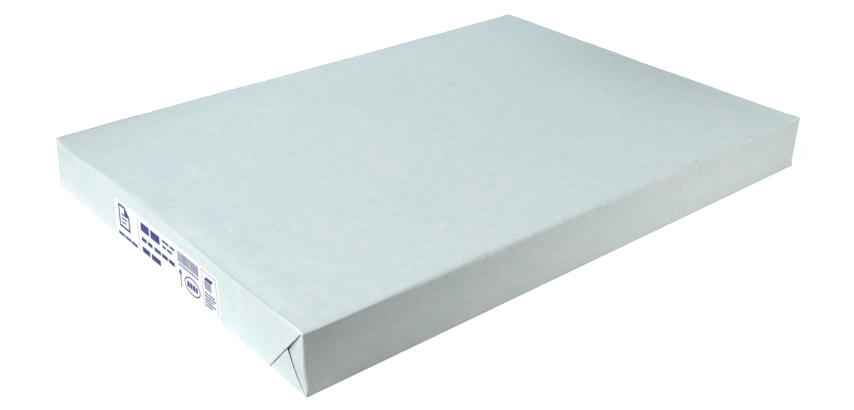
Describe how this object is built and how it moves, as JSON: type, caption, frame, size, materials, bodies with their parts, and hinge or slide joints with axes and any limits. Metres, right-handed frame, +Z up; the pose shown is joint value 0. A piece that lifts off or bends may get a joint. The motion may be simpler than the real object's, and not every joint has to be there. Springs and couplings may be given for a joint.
{
  "type": "ream of paper",
  "caption": "Sealed pack of large-format copier paper in a pale blue-green wrapper, with envelope-folded ends and a white label on one end.",
  "frame": {"origin": "middle of the underside, at the height of the surface that the pack lies on", "axes": "+X along the sheets' long side, away from the labelled end; +Y along the short side; +Z up through the stack"},
  "size_m": [0.4525, 0.321, 0.041],
  "materials": {
    "wrapper": "matt, finely mottled",
    "label": "smooth satin"
  },
  "bodies": {
    "root": {"wrapped_ream": "wrapper", "label": "label"}
  },
  "joints": []
}
